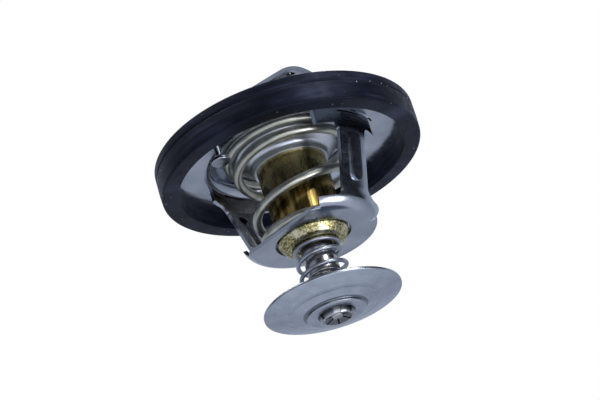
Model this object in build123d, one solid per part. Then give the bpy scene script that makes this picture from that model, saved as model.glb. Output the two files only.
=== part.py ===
from build123d import *
import math
import os

os.makedirs("parts", exist_ok=True)

# Engine thermostat with a bypass valve, built in mm.
# Origin: centre of the rubber ring's upper face. +Z runs along the axis towards the bridge.
# The two legs of the lower frame stand on +X and -X.

# Rubber ring
ring_radius = 33.5
ring_wall = 4.54
ring_inner = ring_radius - ring_wall
ring_height = 7.8
ring_edge = 0.3
ring_lip_edge = 0.3
lap = 1.0
ring_line_z = -2.4
ring_line_depth = 0.35

# Flange stamping: plate, drawn bell, seat lip and bridge
sheet = 1.2
flange_z = -3.7
flange_inset = 1.9
flange_radius = ring_radius - flange_inset
flange_play = 0.1
bell_start = 21.8
bell_radius = 3.0
seat_z = 0.65
seat_opening = 15.8
seat_edge = 0.3
seat_bend = 1.0
bridge_turn = 12.0
bridge_top_z = 15.7
bridge_width = 12.4
bridge_bend = 8.0
bridge_shoulder_inset = 3.8
bridge_shoulder_z = 10.6
bridge_crown_inset = 8.2
bridge_hole_radius = 0.8
bridge_hole_out = 10.0
bridge_hole_aside = -4.4
bridge_seat_play = 0.2

# Heat-sensing element
case_radius = 8.8
case_wall = 1.1
case_waist = case_radius - 0.3
case_waist_z = -21.5
case_bulge = case_radius + 0.2
case_bulge_z = -25.0
case_bulge_height = 2.0
case_neck_height = 1.4
case_waist_length = 9.0
case_foot_radius = 7.6
case_foot_bend = 1.4
case_bottom_z = -29.2
crimp_step = 1.5
crimp_radius = case_radius + crimp_step
crimp_low_z = -3.2
crimp_wall = 1.0
crimp_lip = 1.1
crimp_lip_sheet = 0.8
wax_low_z = -24.0
boot_wall = 1.2
boot_rim = 1.0
guide_flange = 1.4
guide_nose_radius = 4.6
guide_nose_z = -9.0
guide_neck_radius = 5.0
guide_cone = 1.5
guide_top_z = 8.5
piston_radius = 2.0
running_play = 0.05
plug_length = 3.5
plug_play = 0.02
thrust_thickness = 0.6
wiper_height = 1.6
wiper_radius = 3.2
wiper_inset = 0.2
piston_seat = 0.3

# Lower frame stamping: plate, rim, legs, heads and tongues
frame_sheet = 0.9
plate_z = -27.2
hole_play = 0.5
hole_radius = case_bulge + hole_play
hole_edge = 0.5
collar_wall = 0.65
collar_top_z = -24.2
plate_radius = 16.3
plate_edge = 0.3
plate_cut_y = -11.7
rim_radius = 17.6
rim_bend = 3.0
rim_top_z = -24.7
rim_wall_z = -22.4
rim_angle = 38.0
leg_knee_z = -8.0
leg_bend = 1.5
tongue_bend = 0.7
leg_width = 8.8
foot_fillet = 2.4
head_fillet = 1.8
head_radius = 22.0
head_height = 3.6
head_angle = 27.5
tongue_width = 7.0
tongue_reach = 2.4
slot_play = 0.3
slot_tail_angle = 25.0
slot_tail_width = 0.5
slot_tail_radius = 22.9
rib_width = 3.2
rib_height = 0.7
rib_low_z = -21.0
rib_high_z = -9.5

# Main valve dish
dish_sheet = 0.8
dish_radius = 16.9
dish_gap = 0.05
dish_wall_radius = 13.1
dish_wall_z = -2.4
dish_collar_z = -6.6
dish_knee_z = -4.2
dish_wall_bend = 0.8
dish_knee_bend = 1.6

# Bypass stem, disc and clip
stem_radius = 4.1
stem_step_z = -37.5
stem_foot_radius = 3.0
stem_end_radius = 1.5
stem_end_z = -48.6
stem_spigot_radius = 2.5
stem_spigot = 3.5
stem_root_gap = 0.1
disc_radius = 17.25
disc_z = -44.7
disc_sheet = 0.8
disc_cone = 2.2
disc_ring_radius = 11.6
disc_ring_step = 0.15
disc_ring_width = 0.3
boss_radius = 7.5
boss_step = 0.85
boss_flare = 0.3
clip_radius = 4.7
clip_rim_radius = 4.2
clip_height = 1.4
clip_sheet = 0.35
clip_petals = 6
clip_petal_gap = 0.3
clip_slit = 0.5
clip_turn = 12.0
clip_play = 0.02

# Vent pin
pin_angle = -94.5
pin_radius = 0.8
pin_play = 0.35
pin_head_radius = 2.45
pin_head_z = -8.3
pin_head_height = 0.9
pin_cone_radius = 1.2
pin_cone_low = 0.5
pin_cone_high = 1.1
pin_cap_radius = 1.6
pin_cap_height = 1.9
pin_cap_band = 0.5
pin_cap_roof = 0.6
pin_cap_taper = 0.4
pin_cap_drop = 0.3
pin_cap_overhang = 0.3
pin_distance = bell_start + pin_cap_radius - pin_cap_overhang
pin_gap = 0.05

# Springs: wire radii, and mean radii of the turns
main_wire = 1.17
main_foot_play = 0.18
main_foot_radius = hole_radius + collar_wall + main_wire + main_foot_play
main_head_radius = 15.3
bypass_wire = 0.55
bypass_foot_radius = 5.5
bypass_belly_radius = 5.9
spring_play = 0.05


def spun(corners):
    """Solid of revolution about Z from (radius, height, rounding) corners."""
    outline = [(r, z) for r, z, rounding in corners]
    face = make_face(Polyline(*outline, close=True))
    for r, z, rounding in corners:
        if rounding > 0:
            corner = face.vertices().sort_by_distance((r, z, 0))[0]
            face = fillet(corner, rounding)
    return revolve(Plane.XZ * face, Axis.Z)


def bent_sheet(points, bend, thickness):
    """Face of a bent sheet that follows its middle line in radius and height."""
    line = FilletPolyline(*points, radius=bend)
    return Plane.XZ * trace(line, line_width=thickness)


def turned(shape, angle):
    return Rot(0, 0, angle) * shape


def coil(stations, foot, head, wire):
    """Round wire between foot and head, each (mean radius, height).

    Each station is (angle in degrees, share of the change in radius, share of the rise).
    """
    step = 30
    points = []
    first = stations[0][0]
    last = stations[-1][0]
    count = round((last - first) / step)
    for i in range(count + 1):
        angle = first + (last - first) * i / count
        for low, high in zip(stations, stations[1:]):
            if low[0] <= angle <= high[0]:
                share = (angle - low[0]) / (high[0] - low[0])
                widening = low[1] + share * (high[1] - low[1])
                rise = low[2] + share * (high[2] - low[2])
        radius = foot[0] + widening * (head[0] - foot[0])
        height = foot[1] + rise * (head[1] - foot[1])
        turn = math.radians(angle)
        points.append((radius * math.cos(turn), radius * math.sin(turn), height))
    path = Spline(*points)
    section = Plane(origin=path @ 0, z_dir=path % 0) * Circle(wire)
    return sweep(section, path=path, is_frenet=True)


# ---------------------------------------------------------------- rubber ring
def make_seal_ring():
    """Moulded ring of U section: its slot grips the flange plate's rim."""
    body = spun([
        (ring_inner, -ring_height, ring_lip_edge),
        (ring_radius, -ring_height, ring_edge),
        (ring_radius, 0, ring_edge),
        (ring_inner, 0, ring_edge),
    ])
    slot = spun([
        (ring_inner - lap, flange_z, 0),
        (flange_radius + flange_play, flange_z, 0),
        (flange_radius + flange_play, flange_z + sheet, 0),
        (ring_inner - lap, flange_z + sheet, 0),
    ])
    line = spun([
        (ring_radius + ring_line_depth, ring_line_z - 2 * ring_line_depth, 0),
        (ring_radius + ring_line_depth, ring_line_z + 2 * ring_line_depth, 0),
        (ring_radius - ring_line_depth, ring_line_z, 0),
    ])
    return body - slot - line


# ---------------------------------------------------------------- flange
def make_bridge():
    """Strap that arches over the opening and takes the piston's thrust."""
    foot = bell_start - bell_radius + sheet / 2
    top = bridge_top_z - sheet / 2
    low = seat_z + sheet / 2
    shoulder = foot - bridge_shoulder_inset
    crown = foot - bridge_crown_inset
    line = [
        (-foot, low),
        (-shoulder, bridge_shoulder_z),
        (-crown, top),
        (crown, top),
        (shoulder, bridge_shoulder_z),
        (foot, low),
    ]
    strap = extrude(bent_sheet(line, bridge_bend, sheet), bridge_width / 2, both=True)
    place = Pos(bridge_hole_out, bridge_hole_aside, top)
    hole = place * Cylinder(bridge_hole_radius, 4 * sheet)
    seat = Cylinder(piston_radius + bridge_seat_play, 2 * piston_seat)
    seat = Pos(0, 0, bridge_top_z - sheet) * seat
    return turned(strap - hole - seat, bridge_turn)


def make_flange():
    """Stainless plate with the drawn bell, the valve seat lip and the bridge, one stamping."""
    middle = flange_z + sheet / 2
    wall = bell_start - bell_radius + sheet / 2
    lip = seat_z + sheet / 2
    rise = [(flange_radius, middle), (wall, middle), (wall, lip)]
    plate = revolve(bent_sheet(rise, bell_radius - sheet / 2, sheet), Axis.Z)
    seat = spun([
        (seat_opening, seat_z, seat_edge),
        (wall + sheet / 2, seat_z, 0),
        (wall + sheet / 2, seat_z + sheet, seat_bend),
        (seat_opening, seat_z + sheet, 0),
    ])
    body = plate + seat + make_bridge()
    outer = head_radius + slot_play
    inner = head_radius - frame_sheet - slot_play
    slot = Cylinder(outer, 4 * sheet) - Cylinder(inner, 4 * sheet)
    slot = Pos(0, 0, middle) * (slot & Box(4 * outer, tongue_width + 2 * slot_play, 4 * sheet))
    tail = Cylinder(slot_tail_radius + slot_tail_width / 2, 4 * sheet)
    tail = tail - Cylinder(slot_tail_radius - slot_tail_width / 2, 4 * sheet)
    tail = Pos(0, 0, middle) * (tail & turned(sector(slot_tail_angle / 2, 4 * sheet), slot_tail_angle / 2))
    hole = turned(Pos(pin_distance, 0, middle) * Cylinder(pin_radius + pin_play, 4 * sheet), pin_angle)
    return body - slot - tail - hole


# ---------------------------------------------------------------- lower frame
def frame_outline():
    """Side outline that leaves rim, legs, heads and tongues of the drawn shell."""
    head_low = flange_z - head_height
    half_head = head_radius * math.sin(math.radians(head_angle))
    foot_height = rim_top_z - plate_z + lap
    foot = Pos(0, rim_top_z - foot_height / 2) * Rectangle(4 * rim_radius, foot_height)
    leg_height = head_low - rim_top_z + lap
    leg = Pos(0, (head_low + rim_top_z) / 2) * Rectangle(leg_width, leg_height)
    head = Pos(0, flange_z - head_height / 2) * Rectangle(2 * half_head, head_height)
    tongue = Pos(0, flange_z) * Rectangle(tongue_width, 2 * head_height)
    outline = foot + leg + head + tongue
    for side in (-1, 1):
        corner = outline.vertices().sort_by_distance((side * leg_width / 2, rim_top_z, 0))[0]
        outline = fillet(corner, foot_fillet)
        corner = outline.vertices().sort_by_distance((side * leg_width / 2, head_low, 0))[0]
        outline = fillet(corner, head_fillet)
    return outline


def rib_outline():
    """Stadium outline of the rib pressed into each leg."""
    length = rib_high_z - rib_low_z
    middle = (rib_high_z + rib_low_z) / 2
    return Pos(0, middle) * SlotOverall(length, rib_width, rotation=90)


def sector(angle, height):
    """Two opposite wedges about the X axis, each reaching the given angle to both sides."""
    reach = 2 * head_radius
    half = reach * math.tan(math.radians(angle))
    plan = make_face(Polyline((0, 0), (reach, half), (reach, -half), close=True))
    wedge = extrude(plan, height, both=True)
    return wedge + turned(wedge, 180)


def make_lower_frame():
    """Bottom plate with its drawn hole, curled rims, two legs and T heads, one stamping."""
    half = frame_sheet / 2
    floor = plate_z + half
    knee = head_radius - half
    wall = rim_radius - half
    top = flange_z + sheet + half
    flat = wall - rim_bend
    line = [
        (flat - lap, floor),
        (wall, floor),
        (wall, rim_wall_z),
        (knee, leg_knee_z),
        (knee, top),
        (knee + tongue_reach, top),
    ]
    bends = [rim_bend, tongue_bend, leg_bend, tongue_bend]
    shell = revolve(bent_sheet(line, bends, frame_sheet), Axis.Z)
    raised = [(r + rib_height, z) for r, z in line[1:5]]
    rib = revolve(bent_sheet(raised, bends[1:3], frame_sheet), Axis.Z)
    window = extrude(Plane.YZ * rib_outline(), 2 * rim_radius, both=True)
    shell = (shell - window) + (rib & window)
    side_view = extrude(Plane.YZ * frame_outline(), 2 * rim_radius, both=True)
    wings = sector(rim_angle, 2 * rim_radius)
    shell = shell & side_view & wings
    collar = spun([
        (hole_radius, plate_z, hole_edge),
        (flat, plate_z, 0),
        (flat, plate_z + frame_sheet, 0),
        (hole_radius + collar_wall, plate_z + frame_sheet, plate_edge),
        (hole_radius + collar_wall, collar_top_z, 0),
        (hole_radius, collar_top_z, plate_edge),
    ])
    margin = spun([
        (flat - lap, plate_z, 0),
        (plate_radius, plate_z, plate_edge),
        (plate_radius, plate_z + frame_sheet, plate_edge),
        (flat - lap, plate_z + frame_sheet, 0),
    ])
    cut = Box(4 * plate_radius, 2 * plate_radius, 2 * rim_bend)
    cut = Pos(0, plate_cut_y - plate_radius, plate_z) * cut
    return shell + collar + (margin - wings) - cut


# ---------------------------------------------------------------- main valve
def make_main_valve():
    """Stamped dish whose drawn collar grips the case."""
    half = dish_sheet / 2
    top = seat_z - dish_gap - half
    line = [
        (dish_radius, top),
        (dish_wall_radius, top),
        (dish_wall_radius, dish_wall_z),
        (case_radius + half, dish_knee_z),
        (case_radius + half, dish_collar_z),
    ]
    bends = [dish_wall_bend, dish_wall_bend, dish_knee_bend]
    return revolve(bent_sheet(line, bends, dish_sheet), Axis.Z)


# ---------------------------------------------------------------- heat-sensing element
shoulder_z = crimp_low_z + crimp_wall
boot_top_z = shoulder_z + boot_rim
guide_flange_top = boot_top_z + guide_flange
crimp_top_z = guide_flange_top + crimp_lip_sheet
clamp_radius = crimp_radius - crimp_wall
wax_radius = case_radius - case_wall


def make_case():
    """Brass cup: crimped mouth, plain wall, waist and rounded foot."""
    outside = spun([
        (0, case_bottom_z, 0),
        (case_foot_radius, case_bottom_z, case_foot_bend),
        (case_bulge, case_bulge_z - case_bulge_height, 0.8),
        (case_bulge, case_bulge_z, 0.5),
        (case_waist, case_bulge_z + case_neck_height, 0.6),
        (case_waist, case_waist_z, 2),
        (case_radius, case_waist_z + case_waist_length, 2),
        (case_radius, crimp_low_z, 0),
        (crimp_radius, crimp_low_z, 0.4),
        (crimp_radius, crimp_top_z, 0.7),
        (0, crimp_top_z, 0),
    ])
    inside = spun([
        (0, wax_low_z, 0),
        (wax_radius, wax_low_z, 1),
        (wax_radius, shoulder_z, 0),
        (clamp_radius, shoulder_z, 0),
        (clamp_radius, guide_flange_top, 0),
        (clamp_radius - crimp_lip, guide_flange_top, 0),
        (clamp_radius - crimp_lip, crimp_top_z + lap, 0),
        (0, crimp_top_z + lap, 0),
    ])
    spigot = Pos(0, 0, case_bottom_z) * Cylinder(stem_spigot_radius, 2 * stem_spigot)
    return outside - inside - spigot


def make_guide():
    """Brass guide: clamped flange, nose in the boot and neck round the piston."""
    body = spun([
        (0, guide_nose_z, 0),
        (guide_nose_radius, guide_nose_z, 0.6),
        (guide_nose_radius, boot_top_z, 0),
        (clamp_radius, boot_top_z, 0),
        (clamp_radius, guide_flange_top, 0),
        (guide_neck_radius + guide_cone, guide_flange_top, 0),
        (guide_neck_radius, guide_flange_top + guide_cone, 0.5),
        (guide_neck_radius, guide_top_z, 0.8),
        (0, guide_top_z, 0),
    ])
    bore = Cylinder(piston_radius + running_play, 4 * guide_top_z)
    mouth = Pos(0, 0, guide_top_z) * Cylinder(wiper_radius, 2 * wiper_height)
    return body - bore - mouth


def make_boot():
    """Rubber boot between the wax and the guide's nose."""
    low = guide_nose_z - boot_wall
    outer = guide_nose_radius + boot_wall
    body = spun([
        (0, low, 0),
        (outer, low, 1.2),
        (outer, shoulder_z, 0),
        (clamp_radius, shoulder_z, 0),
        (clamp_radius, boot_top_z, 0),
        (0, boot_top_z, 0),
    ])
    room = spun([
        (0, guide_nose_z, 0),
        (guide_nose_radius, guide_nose_z, 0.6),
        (guide_nose_radius, boot_top_z + lap, 0),
        (0, boot_top_z + lap, 0),
    ])
    return body - room


def make_wax():
    """Wax charge that fills the cup round the boot."""
    low = guide_nose_z - boot_wall
    outer = guide_nose_radius + boot_wall
    body = spun([
        (0, wax_low_z, 0),
        (wax_radius, wax_low_z, 1),
        (wax_radius, shoulder_z, 0),
        (0, shoulder_z, 0),
    ])
    room = spun([
        (0, low, 0),
        (outer, low, 1.2),
        (outer, shoulder_z + lap, 0),
        (0, shoulder_z + lap, 0),
    ])
    return body - room


plug_top = guide_nose_z + plug_length
piston_low = plug_top + thrust_thickness
piston_high = bridge_top_z - sheet + piston_seat


def make_plug():
    """Rubber plug that passes the wax's push into the bore."""
    radius = piston_radius + running_play - plug_play
    return Pos(0, 0, guide_nose_z + plug_length / 2) * Cylinder(radius, plug_length)


def make_thrust_disc():
    """Hard disc that keeps the plug from creeping past the piston."""
    middle = plug_top + thrust_thickness / 2
    return Pos(0, 0, middle) * Cylinder(piston_radius, thrust_thickness)


def make_piston():
    """Polished rod from the thrust disc to the bridge."""
    return spun([
        (0, piston_low, 0),
        (piston_radius, piston_low, 0.2),
        (piston_radius, piston_high, 0.8),
        (0, piston_high, 0),
    ])


def make_wiper():
    """Small seal in the guide's mouth."""
    play = running_play
    return spun([
        (piston_radius + play, guide_top_z - wiper_height, 0),
        (wiper_radius, guide_top_z - wiper_height, 0),
        (wiper_radius, guide_top_z - wiper_inset, 0),
        (piston_radius + play, guide_top_z - wiper_inset, 0.3),
    ])


# ---------------------------------------------------------------- bypass
boss_top_z = disc_z - disc_cone
boss_z = boss_top_z - boss_step
clip_top_z = boss_z - clip_play


def make_bypass_stem():
    """Turned steel stem pressed into the case's foot, stepped for the disc and the clip."""
    root = case_bottom_z + stem_spigot - stem_root_gap
    return spun([
        (0, stem_end_z, 0),
        (stem_end_radius, stem_end_z, 0.5),
        (stem_end_radius, clip_top_z, 0),
        (stem_foot_radius, clip_top_z, 0),
        (stem_foot_radius, stem_step_z, 0),
        (stem_radius, stem_step_z, 0.4),
        (stem_radius, case_bottom_z, 0),
        (stem_spigot_radius, case_bottom_z, 0),
        (stem_spigot_radius, root, 0),
        (0, root, 0),
    ])


def make_bypass_disc():
    """Pressed valve disc: shallow cone with a faint ring step and a low boss."""
    slope = disc_cone / (disc_radius - boss_radius)
    ring = disc_z - slope * (disc_radius - disc_ring_radius)
    bore = stem_foot_radius + running_play
    return spun([
        (bore, boss_z, 0),
        (boss_radius, boss_z, 0.35),
        (boss_radius, boss_top_z, 0.2),
        (disc_ring_radius, ring - disc_ring_step, 0),
        (disc_ring_radius + disc_ring_width, ring, 0),
        (disc_radius, disc_z, 0.25),
        (disc_radius, disc_z + disc_sheet, 0.25),
        (boss_radius + boss_flare, boss_top_z + disc_sheet, 0.5),
        (boss_radius - disc_sheet, boss_z + disc_sheet, 0.3),
        (bore, boss_z + disc_sheet, 0),
    ])


def make_stem_clip():
    """Push-on star clip: a low cup whose inner petals slope up and bite on the stem's end."""
    low = clip_top_z - clip_height
    petal_z = clip_top_z - clip_petal_gap
    cup = spun([
        (clip_radius - clip_sheet, clip_top_z, 0),
        (clip_radius, clip_top_z, 0),
        (clip_rim_radius, low, 0.15),
        (clip_rim_radius - clip_sheet, low, 0.1),
        (stem_end_radius, petal_z - clip_sheet, 0),
        (stem_end_radius, petal_z, 0),
        (clip_rim_radius - 2 * clip_sheet, low + 2 * clip_sheet, 0),
    ])
    inner = stem_end_radius / 2
    outer = clip_rim_radius - 2 * clip_sheet
    for i in range(clip_petals):
        gap = Pos((inner + outer) / 2, 0, low) * Box(outer - inner, clip_slit, 3 * clip_height)
        cup = cup - turned(gap, 360 / clip_petals * i + clip_turn)
    return cup


# ---------------------------------------------------------------- springs
def make_main_spring():
    """Conical spring from the frame's plate to the dish's rim, its lower turns wound wider apart."""
    low = plate_z + frame_sheet + main_wire + spring_play
    high = seat_z - dish_gap - dish_sheet - main_wire - spring_play
    stations = [
        (-231, 0, 0),
        (-21, 0, 0),
        (129, 0.08, 0.11),
        (226, 0.16, 0.25),
        (309, 0.21, 0.35),
        (369, 0.26, 0.49),
        (489, 0.45, 0.70),
        (586, 0.58, 0.80),
        (669, 0.66, 0.87),
        (849, 0.92, 0.94),
        (1029, 1, 1),
        (1149, 1, 1),
    ]
    return coil(stations, (main_foot_radius, low), (main_head_radius, high), main_wire)


def make_bypass_spring():
    """Light spring from the case's foot to the bypass disc, waisted out in its middle."""
    low = boss_z + disc_sheet + bypass_wire + spring_play
    high = case_bottom_z - bypass_wire - spring_play
    stations = [
        (-1304, 0, 0),
        (-1034, 0, 0),
        (-854, 0.5, 0.13),
        (-674, 1, 0.31),
        (-494, 1, 0.55),
        (-314, 1, 0.64),
        (-134, 0.5, 0.77),
        (46, 0, 0.88),
        (226, 0, 1),
        (526, 0, 1),
    ]
    return coil(stations, (bypass_foot_radius, low), (bypass_belly_radius, high), bypass_wire)


# ---------------------------------------------------------------- vent pin
def make_vent_pin():
    """Loose pin with a button head under the flange."""
    top = flange_z + sheet + pin_gap + pin_cap_height - pin_cap_roof
    head_top = pin_head_z + pin_head_height
    pin = spun([
        (0, pin_head_z, 0),
        (pin_head_radius, pin_head_z, 0.35),
        (pin_head_radius, head_top, 0.3),
        (pin_cone_radius, head_top + pin_cone_low, 0),
        (pin_radius, head_top + pin_cone_high, 0),
        (pin_radius, top, 0),
        (0, top, 0),
    ])
    return turned(Pos(pin_distance, 0, 0) * pin, pin_angle)


def make_vent_cap():
    """Domed weight on the vent pin's upper end."""
    low = flange_z + sheet + pin_gap
    cap = spun([
        (pin_radius, low, 0),
        (pin_cap_radius, low, 0),
        (pin_cap_radius, low + pin_cap_band, 0),
        (pin_cap_radius - pin_cap_taper, low + pin_cap_height - pin_cap_drop, 0.3),
        (0, low + pin_cap_height, 0),
        (0, low + pin_cap_height - pin_cap_roof, 0),
        (pin_radius, low + pin_cap_height - pin_cap_roof, 0),
    ])
    return turned(Pos(pin_distance, 0, 0) * cap, pin_angle)


pieces = {
    "flange": make_flange,
    "seal_ring": make_seal_ring,
    "lower_frame": make_lower_frame,
    "main_valve": make_main_valve,
    "wax_case": make_case,
    "piston_guide": make_guide,
    "rubber_boot": make_boot,
    "wax_charge": make_wax,
    "rubber_plug": make_plug,
    "thrust_disc": make_thrust_disc,
    "piston": make_piston,
    "wiper_seal": make_wiper,
    "main_spring": make_main_spring,
    "bypass_stem": make_bypass_stem,
    "bypass_spring": make_bypass_spring,
    "bypass_disc": make_bypass_disc,
    "stem_clip": make_stem_clip,
    "vent_pin": make_vent_pin,
    "vent_cap": make_vent_cap,
}
for name, make in pieces.items():
    export_step(make(), f"parts/{name}.step")
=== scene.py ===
# %% [markdown]
# # An engine thermostat, dressed on its frame
# The valve's solid parts come in as a fixed frame, in metres, with +Z towards the bridge and
# the origin in the middle of the rubber ring's upper face. The cells below give each part its
# real finish, and rebuild most round ones as smooth surfaces of revolution and the springs as
# wire carried along a coil.

# %% Load the frame
import math

import bmesh
import bpy
import numpy as np
from mathutils import Matrix, Vector


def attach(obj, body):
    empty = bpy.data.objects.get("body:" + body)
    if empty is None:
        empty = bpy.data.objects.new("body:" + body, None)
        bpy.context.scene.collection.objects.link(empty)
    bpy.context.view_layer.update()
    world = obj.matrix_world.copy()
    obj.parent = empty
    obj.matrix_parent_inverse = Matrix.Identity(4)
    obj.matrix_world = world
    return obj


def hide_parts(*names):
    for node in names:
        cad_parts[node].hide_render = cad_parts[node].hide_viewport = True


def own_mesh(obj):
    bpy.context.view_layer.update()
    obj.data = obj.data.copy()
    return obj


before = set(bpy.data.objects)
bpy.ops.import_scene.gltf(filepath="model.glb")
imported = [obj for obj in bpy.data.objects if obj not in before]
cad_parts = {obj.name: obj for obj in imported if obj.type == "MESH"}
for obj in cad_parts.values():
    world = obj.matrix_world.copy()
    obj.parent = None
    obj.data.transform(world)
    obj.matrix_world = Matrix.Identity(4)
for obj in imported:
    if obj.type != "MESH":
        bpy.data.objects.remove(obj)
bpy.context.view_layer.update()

MM = 0.001

# %% [markdown]
# ## Camera
# The valve is seen from below and a little to one side, as if it hung with its ring uppermost,
# with a long lens so that the ring's ellipse stays calm. A camera looks along its own -Z, so
# three directions at right angles and a place are enough: they are the columns of its matrix.

# %% The camera, from its three directions
LENS, SENSOR = 108.0, 36.0
BELOW, ROLL, ROUND = math.radians(25.41), math.radians(-17.21), math.radians(39.0)
DISTANCE, ACROSS, UP = 451.7 * MM, 3.89 * MM, -13.90 * MM


def spin_z(angle):
    """Turning matrix about Z."""
    c, s = math.cos(angle), math.sin(angle)
    return np.array([[c, -s, 0], [s, c, 0], [0, 0, 1]])


back = np.array([0, -math.cos(BELOW), -math.sin(BELOW)])
side = np.array([1.0, 0, 0])
top = np.cross(side, -back)
right = math.cos(ROLL) * side + math.sin(ROLL) * top
upward = -math.sin(ROLL) * side + math.cos(ROLL) * top
place = back * DISTANCE + right * ACROSS + upward * UP
right, upward, back, place = (spin_z(ROUND) @ v for v in (right, upward, back, place))
camera = bpy.data.objects.new("camera", bpy.data.cameras.new("camera"))
camera.data.lens, camera.data.sensor_width = LENS, SENSOR
camera.data.clip_start, camera.data.clip_end = 0.01, 20
columns = np.column_stack([right, upward, back, place])
camera.matrix_world = Matrix([*columns.tolist(), [0, 0, 0, 1]])
bpy.context.scene.collection.objects.link(camera)
bpy.context.scene.camera = camera
bpy.context.scene.view_settings.view_transform = "Standard"
print("camera at", np.round(place / MM), "mm")

# %% [markdown]
# ## Light
# Bright metal shows the room rather than its own colour, so the room is drawn with care: the
# walls are dark in front and pale behind the valve, with a pale window to the right and another
# to the left, a lighter ceiling and a pale ground. Each is a smooth step of how far a looking
# direction leans towards an axis. Four soft lamps add the highlights. The eye's own rays meet
# plain white instead, by way of the Light Path node.

# %% Node helper, colours and the world
def linear(code):
    """Linear RGBA of an sRGB hex colour: each channel through the sRGB curve."""
    s = np.array([int(code[i:i + 2], 16) for i in (1, 3, 5)]) / 255
    return (*np.where(s <= 0.04045, s / 12.92, ((s + 0.055) / 1.055) ** 2.4).tolist(), 1.0)


def add(tree, kind, inputs=None, **settings):
    """Adds a shader node, sets its properties, and fills its inputs by value or by link."""
    made = tree.nodes.new("ShaderNode" + kind)
    for name, value in settings.items():
        setattr(made, name, value)
    for key, value in (inputs or {}).items():
        if isinstance(value, bpy.types.NodeSocket):
            tree.links.new(value, made.inputs[key])
        else:
            made.inputs[key].default_value = value
    return made


def maths(tree, operation, *values):
    """Result of a maths node on one to three numbers."""
    return add(tree, "Math", dict(enumerate(values)), operation=operation).outputs[0]


def mix(tree, share, first, second, mode="MIX"):
    """Colour that goes from first to second as share goes from 0 to 1."""
    inputs = {0: share, 6: first, 7: second}
    return add(tree, "Mix", inputs, data_type="RGBA", blend_type=mode).outputs[2]


def ramp(tree, factor, stops):
    """Colour ramp over factor with (position, hex) stops."""
    made = add(tree, "ValToRGB", {0: factor})
    while len(made.color_ramp.elements) < len(stops):
        made.color_ramp.elements.new(0.5)
    for element, (position, code) in zip(made.color_ramp.elements, stops):
        element.position, element.color = position, linear(code)
    return made.outputs[0]


world = bpy.data.worlds.new("soft_room")
bpy.context.scene.world = world
world.use_nodes = True
sky = world.node_tree
sky.nodes.clear()
toward = add(sky, "TexCoord").outputs["Generated"]
behind_axis = spin_z(ROUND) @ np.array([0, 1.0, 0])


def along(axis):
    """Share of the looking direction that lies along an axis, from -1 to 1."""
    inputs = {0: toward, 1: tuple(axis)}
    return add(sky, "VectorMath", inputs, operation="DOT_PRODUCT").outputs["Value"]


def step_to(walls, axis, start, end, code):
    """Room colour that passes smoothly to a new one as the direction leans towards an axis."""
    inputs = {0: along(axis), 1: start, 2: end}
    share = add(sky, "MapRange", inputs, interpolation_type="SMOOTHSTEP").outputs[0]
    return mix(sky, share, walls, linear(code))


right_window = spin_z(ROUND) @ np.array([0.60, -0.67, 0.43])
left_window = spin_z(ROUND) @ np.array([-0.80, -0.42, 0.43])
room = linear("#1d1f24")
for axis, start, end, code in (
    (behind_axis, 0.22, 0.46, "#b9c0cd"),
    (right_window, 0.90, 0.98, "#b4b8c2"),
    (left_window, 0.80, 0.96, "#9ea3af"),
    ((0, 0, 1), 0.60, 0.90, "#a4abb8"),
    ((0, 0, -1), 0.30, 0.60, "#c3c8d3"),
):
    room = step_to(room, axis, start, end, code)
lit = add(sky, "Background", {0: room, 1: 1.0})
plain = add(sky, "Background", {0: (1, 1, 1, 1), 1: 1.0})
seen = add(sky, "LightPath").outputs["Is Camera Ray"]
mixed = add(sky, "MixShader", {0: seen, 1: lit.outputs[0], 2: plain.outputs[0]})
add(sky, "OutputWorld", {0: mixed.outputs[0]})


def soft_lamp(name, watts, size, x, y, z):
    """Square area lamp that looks at the middle of the object from metres right, away and up."""
    where = (spin_z(ROUND) @ np.array([x, y, z])).tolist()
    lamp = bpy.data.lights.new(name, "AREA")
    lamp.energy, lamp.size = watts, size
    holder = bpy.data.objects.new(name, lamp)
    holder.location = where
    holder.rotation_euler = (-Vector(where)).to_track_quat("-Z", "Y").to_euler()
    bpy.context.scene.collection.objects.link(holder)


soft_lamp("key_light", 3.2, 0.30, 0.54, -0.60, 0.39)
soft_lamp("low_light", 1.0, 0.30, 0.36, -0.26, -0.34)
soft_lamp("front_fill", 1.4, 0.60, 0.10, -0.85, -0.30)
soft_lamp("top_light", 5.0, 0.50, -0.35, -0.10, 0.80)
print("world and lamps made")

# %% [markdown]
# ## Floor
# The valve hangs in the air here, since it rests on nothing of its own. The floor lies well
# below the camera: it sends light back up, and shows when the valve is seen from above, where
# an emission of the paint's own colour keeps it evenly pale to the eye.

# %% Floor
FLOOR_Z, REACH = -0.60, 3.0
floor_mesh = bpy.data.meshes.new("floor")
corners = [(x * REACH, y * REACH, FLOOR_Z) for x, y in ((-1, -1), (1, -1), (1, 1), (-1, 1))]
floor_mesh.from_pydata(corners, [], [(0, 1, 2, 3)])
floor = bpy.data.objects.new("floor", floor_mesh)
bpy.context.scene.collection.objects.link(floor)
painted = bpy.data.materials.new("painted_table")
painted.use_nodes = True
tree = painted.node_tree
base = tree.nodes["Principled BSDF"]
grain = add(tree, "TexNoise", {"Vector": add(tree, "TexCoord").outputs["Object"], "Scale": 8.0})
paint = ramp(tree, grain.outputs[0], [(0.3, "#f5f7fb"), (0.7, "#fbfcfe")])
tree.links.new(paint, base.inputs["Base Color"])
base.inputs["Roughness"].default_value = 0.8
pale = add(tree, "Emission", {0: paint, 1: 1.0})
direct = add(tree, "LightPath").outputs["Is Camera Ray"]
shown = add(tree, "MixShader", {0: direct, 1: base.outputs[0], 2: pale.outputs[0]})
tree.links.new(shown.outputs[0], tree.nodes["Material Output"].inputs["Surface"])
floor.data.materials.append(painted)
print("floor at", FLOOR_Z, "m")

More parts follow.
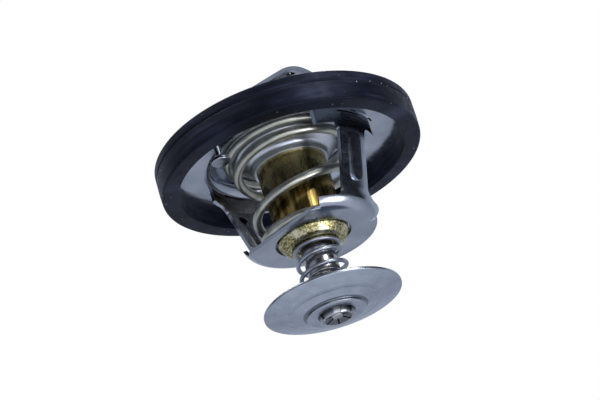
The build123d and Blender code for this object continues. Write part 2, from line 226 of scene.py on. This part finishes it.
# %% [markdown]
# ## Surfaces of revolution
# Rings, cups, discs and pins are all a profile turned about an axis. Spin or the Screw modifier
# would do it, but a grid worked out as one array keeps every corner's rounding exact: each
# corner of the profile is (radius, height, rounding) in millimetres, and an arc that touches
# both sides takes its place.

# %% Rounded profiles turned about Z
NEARLY_STRAIGHT = 1.55  # half of a corner's angle, in radians, from which it stays as it is


def rounded(corners, steps=5):
    """Closed outline whose corner P becomes an arc: its ends lie R*tan(turn/2) along each side."""
    points = []
    for i, (r, z, rounding) in enumerate(corners):
        here = np.array([r, z], float)
        before = np.array(corners[i - 1][:2], float) - here
        after = np.array(corners[(i + 1) % len(corners)][:2], float) - here
        before, after = before / np.linalg.norm(before), after / np.linalg.norm(after)
        half = math.acos(float(np.clip(before @ after, -1, 1))) / 2
        if rounding <= 0 or half > NEARLY_STRAIGHT:
            points.append(here)
            continue
        inward = (before + after) / np.linalg.norm(before + after)
        middle = here + inward * rounding / math.sin(half)
        start = here + before * rounding / math.tan(half)
        end = here + after * rounding / math.tan(half)
        share = np.linspace(0, 1, steps + 1)[:, None]
        chord = start * (1 - share) + end * share - middle
        points.extend(middle + chord / np.linalg.norm(chord, axis=1, keepdims=True) * rounding)
    return np.array(points)


def grid_mesh(name, points, material, body, stands_for, crease=32, closed=True):
    """Mesh of a grid of points: columns close into rings, rows too if closed; faces outward."""
    rows, cols = points.shape[:2]
    spans = rows if closed else rows - 1
    i, j = np.meshgrid(np.arange(spans), np.arange(cols), indexing="ij")
    ni, nj = (i + 1) % rows, (j + 1) % cols
    quads = np.stack([i * cols + j, ni * cols + j, ni * cols + nj, i * cols + nj], -1)
    mesh = bpy.data.meshes.new(name)
    mesh.from_pydata((points.reshape(-1, 3) * MM).tolist(), [], quads.reshape(-1, 4).tolist())
    work = bmesh.new()
    work.from_mesh(mesh)
    bmesh.ops.remove_doubles(work, verts=work.verts, dist=1e-7)
    bmesh.ops.dissolve_degenerate(work, edges=work.edges, dist=1e-8)
    bmesh.ops.recalc_face_normals(work, faces=work.faces)
    work.to_mesh(mesh)
    work.free()
    mesh.shade_smooth()
    mesh.set_sharp_from_angle(angle=math.radians(crease))
    piece = bpy.data.objects.new(name, mesh)
    bpy.context.scene.collection.objects.link(piece)
    mesh.materials.append(material)
    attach(piece, body)
    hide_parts(*stands_for)
    print(name, "has", len(mesh.polygons), "faces")
    return piece


def turned(name, corners, material, body, stands_for, sides=160, centre=(0, 0)):
    """Point (r cos a + x, r sin a + y, z) for each outline point and each angle a."""
    outline = rounded(corners)
    a = np.linspace(0, 2 * np.pi, sides, endpoint=False)
    r, z = outline[:, :1], outline[:, 1:]
    points = np.stack([r * np.cos(a) + centre[0], r * np.sin(a) + centre[1], z + 0 * a], -1)
    return grid_mesh(name, points, material, body, stands_for)


print("turning helpers ready")

# %% [markdown]
# ## Smooth shading for the frame's own parts
# The two stampings, the clip, the vent cap and everything inside the cup come from the frame as
# they are. Their faces are loose triangles, so they are welded and shaded smooth except across
# real edges, all in a small geometry node group that works as a modifier and leaves the mesh
# itself alone.

# %% Weld and smooth modifier
def smoothing_group(angle):
    """Node group: merge by distance, shade smooth, and keep edges sharper than the angle."""
    group = bpy.data.node_groups.new("weld_and_smooth", "GeometryNodeTree")
    group.interface.new_socket("Geometry", in_out="INPUT", socket_type="NodeSocketGeometry")
    group.interface.new_socket("Geometry", in_out="OUTPUT", socket_type="NodeSocketGeometry")
    entry, leave = group.nodes.new("NodeGroupInput"), group.nodes.new("NodeGroupOutput")
    weld = group.nodes.new("GeometryNodeMergeByDistance")
    weld.inputs["Distance"].default_value = 1e-6
    smooth, sharp = (group.nodes.new("GeometryNodeSetShadeSmooth") for _ in range(2))
    smooth.domain, sharp.domain = "FACE", "EDGE"
    sharp.inputs["Shade Smooth"].default_value = False
    bend = group.nodes.new("GeometryNodeInputMeshEdgeAngle")
    steep = group.nodes.new("FunctionNodeCompare")
    steep.data_type, steep.operation = "FLOAT", "GREATER_THAN"
    steep.inputs[1].default_value = angle
    for a, b in (
        (entry.outputs[0], weld.inputs[0]),
        (weld.outputs[0], smooth.inputs[0]),
        (smooth.outputs[0], sharp.inputs[0]),
        (bend.outputs["Unsigned Angle"], steep.inputs[0]),
        (steep.outputs[0], sharp.inputs["Selection"]),
        (sharp.outputs[0], leave.inputs[0]),
    ):
        group.links.new(a, b)
    return group


SHARP_FROM = math.radians(28)
weld_and_smooth = smoothing_group(SHARP_FROM)


def dress(node_name, material):
    """Gives a frame part its material and the smoothing modifier."""
    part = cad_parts[node_name]
    for slot in part.material_slots:
        slot.link = "OBJECT"
        slot.material = material
    part.modifiers.new("weld_and_smooth", "NODES").node_group = weld_and_smooth
    print(node_name, "dressed in", material.name)


print("smoothing group ready")

# %% [markdown]
# ## Finishes
# Everything here is metal or rubber made for hot coolant: bright pressed stainless sheet, drawn
# wire, a drawn brass cup that hot water has stained, and black moulded rubber. Each finish is a
# Principled shader whose colour and roughness wander a little, and whose bump has the scale of
# the real mark. `scale_of` turns a mark's size in millimetres into a texture scale.

# %% A start for every finish
def scale_of(size):
    """Texture scale whose marks are about size millimetres apart."""
    return 1 / (size * MM)


def surface(name, metallic, roughness):
    """New material: returns it, its node tree, its Principled shader and object coordinates."""
    material = bpy.data.materials.new(name)
    material.use_nodes = True
    tree = material.node_tree
    shader = tree.nodes["Principled BSDF"]
    shader.inputs["Metallic"].default_value = metallic
    shader.inputs["Roughness"].default_value = roughness
    return material, tree, shader, add(tree, "TexCoord").outputs["Object"]


def noise(tree, coords, size, detail=3.0, stretch=(1, 1, 1)):
    """Noise whose marks are size millimetres, drawn out along an axis by stretch."""
    mapped = add(tree, "Mapping", {0: coords, 3: tuple(1 / s for s in stretch)}).outputs[0]
    inputs = {"Vector": mapped, "Scale": scale_of(size), "Detail": detail}
    return add(tree, "TexNoise", inputs).outputs[0]


def spread(tree, factor, low, high, start=0.3, end=0.7):
    """Number that runs from low to high as factor goes from start to end."""
    return add(tree, "MapRange", {0: factor, 1: start, 2: end, 3: low, 4: high}).outputs[0]


def relief(tree, shader, layers, normal=None):
    """Bumps laid over each other: (height socket, depth in mm) from the finest to the coarsest."""
    for heights, depth in layers:
        inputs = {"Height": heights, "Strength": 1.0, "Distance": depth * MM}
        if normal is not None:
            inputs["Normal"] = normal
        normal = add(tree, "Bump", inputs).outputs[0]
    tree.links.new(normal, shader.inputs["Normal"])


def colour(tree, shader, socket):
    """Links a colour to the shader's base colour."""
    tree.links.new(socket, shader.inputs["Base Color"])


def rough(tree, shader, socket):
    """Links a number to the shader's roughness."""
    tree.links.new(socket, shader.inputs["Roughness"])


print("finish helpers ready")

# %% [markdown]
# ### Pressed stainless sheet
# Cold-rolled sheet keeps a bright, slightly blue skin, with faint drawing marks and soft dents
# where the punch has pulled it. The dents bend the reflections, which is what tells the eye it
# is thin sheet and not a turned part.

# %% Bright pressed stainless
HEADS_Z = (-9.5 * MM, -8.0 * MM)  # between the legs and the T heads above them
LEGS_Z = (-22.5 * MM, -20.5 * MM)  # between the raised plate and the legs above it
FAR_X = (-2.0 * MM, 2.0 * MM)  # between the far leg and the near one
HOLE_SHADE_R, RAGGED = (2.4 * MM, 3.2 * MM), 3.0 * MM  # reach of the painted shade round the hole, and how far its edge strays


def flattened(tree, coords):
    """Unit normal from (x, y(1 - k), z), where k is 0.9 on the T heads and the far leg.

    Masks of painted shade for that leg's inside and for the heads' inward faces come with it.
    Curved about the axis, these faces would mirror a wide sweep of the room instead of one calm
    tone.
    """
    place = add(tree, "SeparateXYZ", {0: coords})
    head = spread(tree, place.outputs["Z"], 0.0, 0.9, *HEADS_Z)
    above_rim = spread(tree, place.outputs["Z"], 0.0, 0.9, *LEGS_Z)
    far = spread(tree, place.outputs["X"], 1.0, 0.0, *FAR_X)
    far_leg = maths(tree, "MULTIPLY", above_rim, far)
    keep = maths(tree, "SUBTRACT", 1.0, maths(tree, "MAXIMUM", head, far_leg))
    scale = add(tree, "CombineXYZ", {0: 1.0, 1: keep, 2: 1.0}).outputs[0]
    normal = add(tree, "NewGeometry").outputs["Normal"]
    squeezed = add(tree, "VectorMath", {0: normal, 1: scale}, operation="MULTIPLY").outputs[0]
    unit = add(tree, "VectorMath", {0: squeezed}, operation="NORMALIZE").outputs[0]
    toward_x = add(tree, "SeparateXYZ", {0: normal}).outputs["X"]
    inside = maths(tree, "MULTIPLY", spread(tree, toward_x, 0.0, 1.0, 0.1, 0.5), far_leg)
    head_shade = maths(tree, "MULTIPLY", spread(tree, toward_x, 0.0, 0.8, 0.1, 0.5), head)
    return unit, inside, head_shade


def pressed_stainless(name, pale, dark, low, high, legs=False, hole=None):
    """Stainless sheet between two tones; legs flattens them and paints shade on the far leg's
    inside and the heads, hole is a place to ring with painted shade.
    """
    material, tree, shader, coords = surface(name, 1.0, low)
    tone = ramp(tree, noise(tree, coords, 9.0, 4.0), [(0.3, dark), (0.7, pale)])
    rubbed = noise(tree, coords, 0.8, 4.0, stretch=(1, 6, 1))
    rough(tree, shader, spread(tree, rubbed, low, high))
    facing = None
    if legs:
        facing, inside, heads = flattened(tree, coords)
        # painted shade: the T heads' faces that look inward are darkened to a grey
        tone = mix(tree, heads, tone, linear("#565a64"))
        # painted shade: the far leg's inside is darkened to a brownish grey
        tone = mix(tree, inside, tone, linear("#6a645c"))
    if hole:
        inputs = {0: coords, 1: tuple(v * MM for v in hole)}
        away = add(tree, "VectorMath", inputs, operation="DISTANCE").outputs["Value"]
        ragged = maths(tree, "MULTIPLY_ADD", noise(tree, coords, 1.2, 3.0), RAGGED, away)
        hole_shade = spread(tree, ragged, 1.0, 0.0, *HOLE_SHADE_R)
        # painted shade: a ragged near-black ring round the bridge hole
        tone = mix(tree, hole_shade, tone, linear("#17120f"))
    colour(tree, shader, tone)
    relief(tree, shader, [(noise(tree, coords, 7.0, 1.0), 0.09)], facing)
    return material


BRIDGE_HOLE = (10.7, -2.2, 14.4)  # the small hole in the flange's bridge, ringed with painted shade
flange_sheet = pressed_stainless(
    "pressed_stainless_flange", "#bfc5d0", "#a1a9b6", 0.12, 0.24, hole=BRIDGE_HOLE
)
# the dish was drawn deepest, which leaves its skin the roughest of the three
dish_sheet = pressed_stainless("pressed_stainless_dish", "#e2e6ee", "#cad0da", 0.28, 0.40)
leg_sheet = pressed_stainless(
    "pressed_stainless_frame", "#bdc3ce", "#a1a9b6", 0.14, 0.26, legs=True
)
print("stainless finishes made")

# %% [markdown]
# ### Moulded rubber
# The ring is carbon-black nitrile rubber, so it is nearly black with a wide dull sheen. Mould
# flow leaves soft waves, and a pale dust sits on it in specks of a few tenths of a millimetre.

# %% Black moulded rubber with dust
FLOW = 4.0  # millimetres of flow mark for each radian round the axis


def moulded_rubber(name, dusty):
    """Black rubber; dusty adds pale specks where a cell pattern's points are close."""
    material, tree, shader, coords = surface(name, 0.0, 0.42)
    shader.inputs["Specular IOR Level"].default_value = 0.20
    shader.inputs["Specular Tint"].default_value = linear("#c0cdf5")
    axes = add(tree, "SeparateXYZ", {0: coords})
    angle = maths(tree, "ARCTAN2", axes.outputs["Y"], axes.outputs["X"])
    round_way = maths(tree, "MULTIPLY", angle, FLOW * MM)
    flow = add(tree, "CombineXYZ", {0: round_way, 2: axes.outputs["Z"]}).outputs[0]
    bloom = ramp(
        tree, noise(tree, flow, 1.6, 4.0), [(0.38, "#0b0d15"), (0.55, "#161926"), (0.7, "#2a2e40")]
    )
    if dusty:
        inputs = {"Vector": coords, "Scale": scale_of(1.7), "Randomness": 1.0}
        away = add(tree, "TexVoronoi", inputs).outputs["Distance"]
        speck = ramp(tree, away, [(0.0, "#ffffff"), (0.05, "#ffffff"), (0.10, "#000000")])
        gate = ramp(tree, noise(tree, coords, 6.0, 2.0), [(0.50, "#000000"), (0.60, "#ffffff")])
        bloom = mix(tree, maths(tree, "MULTIPLY", speck, gate), bloom, linear("#c3c7d2"))
    colour(tree, shader, bloom)
    rough(tree, shader, spread(tree, noise(tree, coords, 3.0, 4.0), 0.36, 0.52))
    fine, waves = noise(tree, coords, 0.3, 2.0), noise(tree, coords, 5.0, 1.0)
    relief(tree, shader, [(fine, 0.004), (waves, 0.05)])
    return material


ring_rubber = moulded_rubber("moulded_nitrile", True)
inner_rubber = moulded_rubber("moulded_nitrile_clean", False)
print("rubber finishes made")

# %% [markdown]
# ### Drawn brass
# The cup is drawn from brass sheet, which leaves faint upright lines. Hot coolant dulls its
# upper part to olive, and mottles the foot from brown to pale, with patches of painted highlight.

# %% Stained drawn brass, with painted highlight on the foot
OLIVE_Z = (-16.5 * MM, -13.5 * MM)  # from here up the cup is dulled to olive
FOOT_Z = (-24.5 * MM, -22.5 * MM)  # from here down it is mottled


def drawn_brass(name, stain_and_highlight):
    """Brass with upright drawing lines; stain_and_highlight adds the olive top, the mottled foot
    and painted highlight on it.
    """
    material, tree, shader, coords = surface(name, 1.0, 0.25)
    cloud = noise(tree, coords, 3.0, 6.0, stretch=(1, 1, 2.5))
    gold = ramp(tree, cloud, [(0.3, "#9f8549"), (0.5, "#b59b5c"), (0.7, "#d2be88")])
    upright = noise(tree, coords, 1.5, 2.0, stretch=(1, 1, 14))
    streak = ramp(tree, upright, [(0.42, "#8d8a86"), (0.56, "#ffffff")])
    gold = mix(tree, 1.0, gold, streak, "MULTIPLY")
    if stain_and_highlight:
        z = add(tree, "SeparateXYZ", {0: coords}).outputs["Z"]
        upper = spread(tree, z, 0.0, 1.0, *OLIVE_Z)
        olive = ramp(tree, cloud, [(0.3, "#85784f"), (0.5, "#9c8f65"), (0.7, "#b3a67b")])
        gold = mix(tree, upper, gold, olive)
        foot = spread(tree, z, 1.0, 0.0, *FOOT_Z)
        grit = noise(tree, coords, 0.45, 8.0)
        mottle = ramp(tree, grit, [(0.36, "#4b4529"), (0.48, "#9a8f5a"), (0.62, "#e4ddb4")])
        # painted highlight: pale patches laid over the foot's mottle
        foot_highlight = spread(tree, noise(tree, coords, 4.0, 2.0), 0.0, 0.85, 0.52, 0.66)
        gold = mix(tree, foot, gold, mix(tree, foot_highlight, mottle, linear("#ece7cb")))
    colour(tree, shader, gold)
    rough(tree, shader, spread(tree, noise(tree, coords, 1.5, 4.0, stretch=(1, 1, 3)), 0.20, 0.34))
    lines = noise(tree, coords, 0.9, 2.0, stretch=(1, 1, 20))
    relief(tree, shader, [(lines, 0.05), (noise(tree, coords, 2.2, 2.0, stretch=(1, 1, 8)), 0.09)])
    return material


case_brass = drawn_brass("drawn_brass_stain_and_highlight", True)
guide_brass = drawn_brass("turned_brass", False)
print("brass finishes made")

# %% [markdown]
# ### Drawn wire and turned steel
# Spring wire comes bright from its die, with a skin that wanders softly in tone. The turned
# stem, pins, clip and disc carry rings round their axis instead: a sine of the height would look
# ruled, so noise that changes with radius and height alone does it. A few rings carry painted
# shade.

# %% Wire and turned steel
def drawn_wire(name, pale, dark):
    """Bright spring wire between two tones, with shallow marks from the die."""
    material, tree, shader, coords = surface(name, 1.0, 0.2)
    colour(tree, shader, ramp(tree, noise(tree, coords, 4.0, 4.0), [(0.3, dark), (0.7, pale)]))
    rough(tree, shader, spread(tree, noise(tree, coords, 1.2, 3.0), 0.28, 0.40))
    relief(tree, shader, [(noise(tree, coords, 2.5, 2.0), 0.02)])
    return material


STEP_R, STEP_HALF, STEP_DEPTH = 11.6, 0.5, 0.26  # ring pressed in the bypass disc


def turned_steel(name, pale, dark, low, high, sway=0.01, centre=(0, 0), step=0.0, shade_rings=()):
    """Turned steel: noise over radius and height gives rings, and step is a pressed ring's radius.

    Each shade ring is a ring of painted shade: middle radius, half width, strength and colour.
    """
    material, tree, shader, coords = surface(name, 1.0, low)
    local = add(tree, "Mapping", {0: coords, 1: (-centre[0] * MM, -centre[1] * MM, 0)}).outputs[0]
    axes = add(tree, "SeparateXYZ", {0: local})
    flat = add(tree, "CombineXYZ", {0: axes.outputs[0], 1: axes.outputs[1]}).outputs[0]
    radius = add(tree, "VectorMath", {0: flat}, operation="LENGTH").outputs["Value"]
    rings = add(tree, "CombineXYZ", {0: radius, 2: axes.outputs[2]}).outputs[0]
    cut = noise(tree, rings, 0.22, 3.0)
    tone = ramp(tree, noise(tree, coords, 3.0, 4.0), [(0.3, dark), (0.7, pale)])
    for middle, half, share, code in shade_rings:
        off = maths(tree, "ABSOLUTE", maths(tree, "SUBTRACT", radius, middle * MM))
        near = spread(tree, off, share, 0.0, half * MM, (half + 0.3) * MM)
        tone = mix(tree, near, tone, linear(code))
    colour(tree, shader, tone)
    rough(tree, shader, spread(tree, cut, low, high))
    layers = [(cut, 0.003), (noise(tree, rings, 2.2, 1.0), sway)]
    if step:
        inner, outer = (step - STEP_HALF) * MM, (step + STEP_HALF) * MM
        layers.append((spread(tree, radius, 0.0, 1.0, inner, outer), STEP_DEPTH))
    relief(tree, shader, layers)
    return material


# painted shade: the clip's recess round its teeth and its outer wall are darkened
CLIP_SHADE_RINGS = ((2.5, 0.8, 0.75, "#33363c"), (4.65, 0.1, 0.9, "#2a2c31"))  # teeth, outer edge
# painted shade: a darker ring in the corner where the boss meets the cone
DISC_SHADE_RINGS = ((7.75, 0.2, 0.7, "#555962"),)  # where the boss meets the cone
spring_wire = drawn_wire("drawn_spring_wire", "#c8cac0", "#a6a79d")
light_wire = drawn_wire("drawn_light_wire", "#bfc6d2", "#9aa0ac")
stem_steel = turned_steel("turned_steel", "#c6c5c6", "#989799", 0.18, 0.32)
clip_steel = turned_steel("sprung_steel", "#c3c6cd", "#a2a5ac", 0.12, 0.22, shade_rings=CLIP_SHADE_RINGS)
piston_steel = turned_steel("ground_steel", "#d2d3d6", "#bfc1c6", 0.08, 0.16)
spun_sheet = turned_steel(
    "spun_stainless", "#b9c1ce", "#a8b0be", 0.24, 0.36, 0.05, step=STEP_R, shade_rings=DISC_SHADE_RINGS
)
print("wire and steel finishes made")

# %% [markdown]
# ### Materials that hardly show
# Inside the cup are wax, a small hard disc, rubber parts, a steel piston and its brass guide.
# They are hidden, but a part that is opened or cut should still find them finished.

# %% Wax and hard plastic
def cast_wax():
    """Pale wax with a soft cloudy tone."""
    material, tree, shader, coords = surface("cast_wax", 0.0, 0.5)
    cloud = noise(tree, coords, 2.5, 4.0)
    colour(tree, shader, ramp(tree, cloud, [(0.3, "#cdbf94"), (0.7, "#ddd2ad")]))
    rough(tree, shader, spread(tree, noise(tree, coords, 1.0, 3.0), 0.42, 0.6))
    relief(tree, shader, [(noise(tree, coords, 0.8, 3.0), 0.01)])
    return material


def hard_plastic():
    """White fluoropolymer disc, smooth and slightly cloudy."""
    material, tree, shader, coords = surface("moulded_fluoropolymer", 0.0, 0.35)
    cloud = noise(tree, coords, 1.0, 3.0)
    colour(tree, shader, ramp(tree, cloud, [(0.3, "#dcdcd8"), (0.7, "#e9e9e6")]))
    relief(tree, shader, [(noise(tree, coords, 0.4, 2.0), 0.004)])
    return material


wax, plastic = cast_wax(), hard_plastic()
dress("wax_charge", wax)
dress("thrust_disc", plastic)
for hidden in ("rubber_boot", "rubber_plug", "wiper_seal"):
    dress(hidden, inner_rubber)
dress("piston", piston_steel)
dress("piston_guide", guide_brass)

# %% [markdown]
# ## The stampings
# The flange with its bell and bridge is one pressing, and the lower frame with its plate, legs
# and T-shaped heads is another. Both keep the frame's own shape.

# %% Dress the flange and the lower frame
dress("flange", flange_sheet)
dress("lower_frame", leg_sheet)

# %% [markdown]
# ## Rubber ring
# The ring is moulded as a U that grips the flange's rim. Its outer wall carries one fine line
# where the two halves of the mould meet, and its edges are softly rounded.

# %% Seal ring
RING_R, RING_INNER, RING_HEIGHT, RING_LINE_Z, LINE = 33.5, 28.96, 7.8, -2.4, 0.35
FLANGE_R, FLANGE_Z, SHEET = 31.6, -3.7, 1.2
seal_outline = [
    (RING_INNER, -RING_HEIGHT, 0.3),
    (RING_R - 0.15, -RING_HEIGHT, 0.6),
    (RING_R, -RING_HEIGHT / 2 - 0.8, 4.0),
    (RING_R, RING_LINE_Z - LINE, 0.12),
    (RING_R - LINE, RING_LINE_Z, 0.08),
    (RING_R, RING_LINE_Z + LINE, 0.12),
    (RING_R, 0, 0.3),
    (RING_INNER, 0, 0.3),
    (RING_INNER, FLANGE_Z + SHEET, 0),
    (FLANGE_R + 0.1, FLANGE_Z + SHEET, 0),
    (FLANGE_R + 0.1, FLANGE_Z, 0),
    (RING_INNER, FLANGE_Z, 0),
]
turned("moulded_ring", seal_outline, ring_rubber, "frame", ["seal_ring"], sides=256)

# %% [markdown]
# ## Valve dish
# The dish closes the flange's opening from below. The spring's top coil presses on its flat rim,
# outside the drawn wall, and a collar in its middle grips the brass cup. Every bend of the sheet
# is a soft round.

# %% Main valve dish
DISH_TOP, DISH_SHEET = 0.6, 0.8
dish_low = DISH_TOP - DISH_SHEET
dish_outline = [
    (16.9, DISH_TOP, 0.1),
    (16.9, dish_low, 0.1),
    (13.5, dish_low, 0.4),
    (13.5, -2.6, 1.2),
    (9.6, -4.7, 1.2),
    (9.6, -6.6, 0.15),
    (8.8, -6.6, 0.1),
    (8.8, -3.9, 1.9),
    (12.7, -1.9, 0.4),
    (12.7, DISH_TOP, 1.2),
]
turned("valve_dish", dish_outline, dish_sheet, "element", ["main_valve"])

# %% [markdown]
# ## Brass cup
# The cup holds the wax. Its mouth is rolled over the guide's flange, its wall tapers by a hair
# to a waist, and below that it swells again where the stem was pressed in.

# %% Wax case
CUP_FOOT = -29.2
case_outline = [
    (0, CUP_FOOT, 0),
    (7.6, CUP_FOOT, 1.4),
    (9.0, -27.0, 0.8),
    (9.0, -25.0, 0.6),
    (8.5, -23.6, 0.6),
    (8.5, -21.5, 2.0),
    (8.8, -12.5, 2.0),
    (8.8, -3.2, 0.3),
    (10.3, -3.2, 0.4),
    (10.3, 0.9, 0.7),
    (8.2, 0.9, 0.1),
    (8.2, 0.2, 0),
    (9.3, 0.2, 0),
    (9.3, -2.2, 0),
    (7.7, -2.2, 0),
    (7.7, -24.0, 1.0),
    (0, -24.0, 0),
]
turned("brass_cup", case_outline, case_brass, "element", ["wax_case"])

# %% [markdown]
# ## Stem, disc and clip
# A turned steel stem is pressed into the cup's foot. The bypass disc slides on it, pushed down
# by a light spring, and a push-on star clip on its thin end stops it. The disc is a shallow cone
# with a faint ring pressed in it and a flat boss in the middle, with painted shade where the boss
# meets the cone. The clip keeps the frame's own shape with its slits, and has painted shade round
# its teeth and along its outer edge.

# %% Bypass stem, disc and clip
CONE_Z, CONE, DISC_R, BOSS_R, BOSS_STEP, DISC_SHEET = -44.7, 2.2, 17.25, 7.5, 0.85, 0.8
STEM_END = -48.6
boss_top = CONE_Z - CONE
boss = boss_top - BOSS_STEP
clip_top = boss - 0.02
stem_outline = [
    (0, STEM_END, 0),
    (1.5, STEM_END, 0.5),
    (1.5, clip_top, 0),
    (3.0, clip_top, 0),
    (3.0, -37.5, 0.05),
    (4.1, -37.5, 0.4),
    (4.1, CUP_FOOT, 0.05),
    (2.5, CUP_FOOT, 0),
    (2.5, -25.8, 0.2),
    (0, -25.8, 0),
]
ring_z = CONE_Z - CONE * (DISC_R - STEP_R) / (DISC_R - BOSS_R)
disc_outline = [
    (3.05, boss, 0.1),
    (BOSS_R, boss, 0.4),
    (BOSS_R, boss_top, 0.3),
    (STEP_R - 0.1, ring_z - 0.15, 0.1),
    (STEP_R + 0.3, ring_z, 0.3),
    (DISC_R, CONE_Z, 0.25),
    (DISC_R, CONE_Z + DISC_SHEET, 0.3),
    (BOSS_R + 0.3, boss_top + DISC_SHEET, 0.5),
    (BOSS_R - DISC_SHEET, boss + DISC_SHEET, 0.3),
    (3.05, boss + DISC_SHEET, 0.1),
]
turned("turned_stem", stem_outline, stem_steel, "element", ["bypass_stem"], sides=96)
turned("spun_disc", disc_outline, spun_sheet, "bypass_valve", ["bypass_disc"], sides=192)
dress("stem_clip", clip_steel)

# %% [markdown]
# ## Vent pin
# A loose pin with a button head lets air past the valve while it is shut. It stands to one side
# of the axis, so its profile is turned about its own centre.

# %% Vent pin and its cap
PIN_REACH, PIN_ANGLE = 23.1, math.radians(-94.5)
PIN_AT = (PIN_REACH * math.cos(PIN_ANGLE), PIN_REACH * math.sin(PIN_ANGLE))
pin_steel = turned_steel("turned_pin_steel", "#a9acb3", "#83868e", 0.14, 0.26, centre=PIN_AT)
pin_outline = [
    (0, -8.3, 0),
    (2.45, -8.3, 0.35),
    (2.45, -7.4, 0.3),
    (1.2, -6.9, 0.2),
    (0.8, -6.3, 0.3),
    (0.8, -1.15, 0.05),
    (0, -1.15, 0),
]
turned("button_pin", pin_outline, pin_steel, "vent", ["vent_pin"], sides=64, centre=PIN_AT)
dress("vent_cap", pin_steel)

# %% [markdown]
# ## Springs
# A coil could be a curve with a bevel, but its twist and its ends are easier to hold as a
# surface. Each spring's middle line runs through stations of angle, share of the widening and
# share of the rise. A bell-shaped sliding average rounds the passage from one to the next, and
# the wire's round section is carried along it, on the outward direction and the one at right
# angles to both.

# %% Wire carried along a coil
BELL = np.hanning(23)[1:-1]
BEVEL, END_SHARE = 0.12, 0.85  # bevel at a wire's end, and the share of its radius left there


def coil_piece(name, stations, ends, wire, material, body, stands_for, step=4.0, around=20):
    """Point P(t) + wire * (cos b * outward + sin b * across) for coil and section angles t, b."""
    angle, widening, rise = np.array(stations, float).T
    (foot_r, foot_z), (head_r, head_z) = ends
    t = np.arange(angle[0], angle[-1] + step / 2, step)

    def eased(values):
        """Values of the stations at every coil angle, averaged under the bell."""
        padded = np.pad(np.interp(t, angle, values), len(BELL) // 2, "edge")
        return np.convolve(padded, BELL / BELL.sum(), "valid")

    r = eased(foot_r + widening * (head_r - foot_r))
    z = eased(foot_z + rise * (head_z - foot_z))
    a = np.radians(t)
    line = np.stack([r * np.cos(a), r * np.sin(a), z], -1)
    tangent = np.gradient(line, axis=0)
    tangent /= np.linalg.norm(tangent, axis=1, keepdims=True)
    outward = np.stack([np.cos(a), np.sin(a), 0 * a], -1)
    outward -= tangent * (tangent * outward).sum(1, keepdims=True)
    outward /= np.linalg.norm(outward, axis=1, keepdims=True)
    across = np.cross(tangent, outward)
    count = len(t)
    pick = np.clip(np.arange(-2, count + 2), 0, count - 1)
    share = np.concatenate([[0, END_SHARE], np.ones(count), [END_SHARE, 0]])
    shift = np.concatenate([[-BEVEL, -BEVEL], np.zeros(count), [BEVEL, BEVEL]])[:, None]
    b = np.linspace(0, 2 * np.pi, around, endpoint=False)[None, :, None]
    section = np.cos(b) * outward[pick][:, None] + np.sin(b) * across[pick][:, None]
    middle = line[pick] + tangent[pick] * shift
    points = middle[:, None] + wire * share[:, None, None] * section
    return grid_mesh(name, points, material, body, stands_for, crease=40, closed=False)


print("coil helper ready")

# %% [markdown]
# ### The two springs
# The main spring is a cone with its wide turns under the dish, and the light one bulges a little
# in the middle. Their dead end turns lie close to their neighbours without touching.

# %% Main spring and light spring
MAIN_WIRE, BYPASS_WIRE, PLAY = 1.17, 0.55, 0.05
PLATE_Z, FRAME_SHEET = -27.2, 0.9
main_stations = [
    (-231, 0, 0),
    (-21, 0, 0),
    (129, 0.08, 0.11),
    (226, 0.16, 0.25),
    (309, 0.21, 0.35),
    (369, 0.26, 0.49),
    (489, 0.45, 0.70),
    (586, 0.58, 0.80),
    (669, 0.75, 0.87),
    (789, 0.90, 0.893),
    (849, 0.98, 0.94),
    (1029, 1, 1),
    (1149, 1, 1),
]
light_stations = [
    (-1292, 0, 0),
    (-1034, 0, 0),
    (-854, 0.5, 0.13),
    (-674, 1, 0.31),
    (-494, 1, 0.55),
    (-314, 1, 0.64),
    (-134, 0.5, 0.77),
    (46, 0, 0.88),
    (226, 0, 1),
    (484, 0, 1),
]
main_foot, disc_floor = PLATE_Z + FRAME_SHEET, boss + DISC_SHEET
main_ends = (11.5, main_foot + MAIN_WIRE + PLAY), (15.3, dish_low - MAIN_WIRE - PLAY)
light_ends = (5.5, disc_floor + BYPASS_WIRE + PLAY), (5.9, CUP_FOOT - BYPASS_WIRE - PLAY)
main_coil = coil_piece(
    "wound_main_spring", main_stations, main_ends, MAIN_WIRE, spring_wire, "frame", ["main_spring"]
)
light_coil = coil_piece(
    "wound_light_spring",
    light_stations,
    light_ends,
    BYPASS_WIRE,
    light_wire,
    "element",
    ["bypass_spring"],
    step=6.0,
    around=14,
)
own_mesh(main_coil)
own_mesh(light_coil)
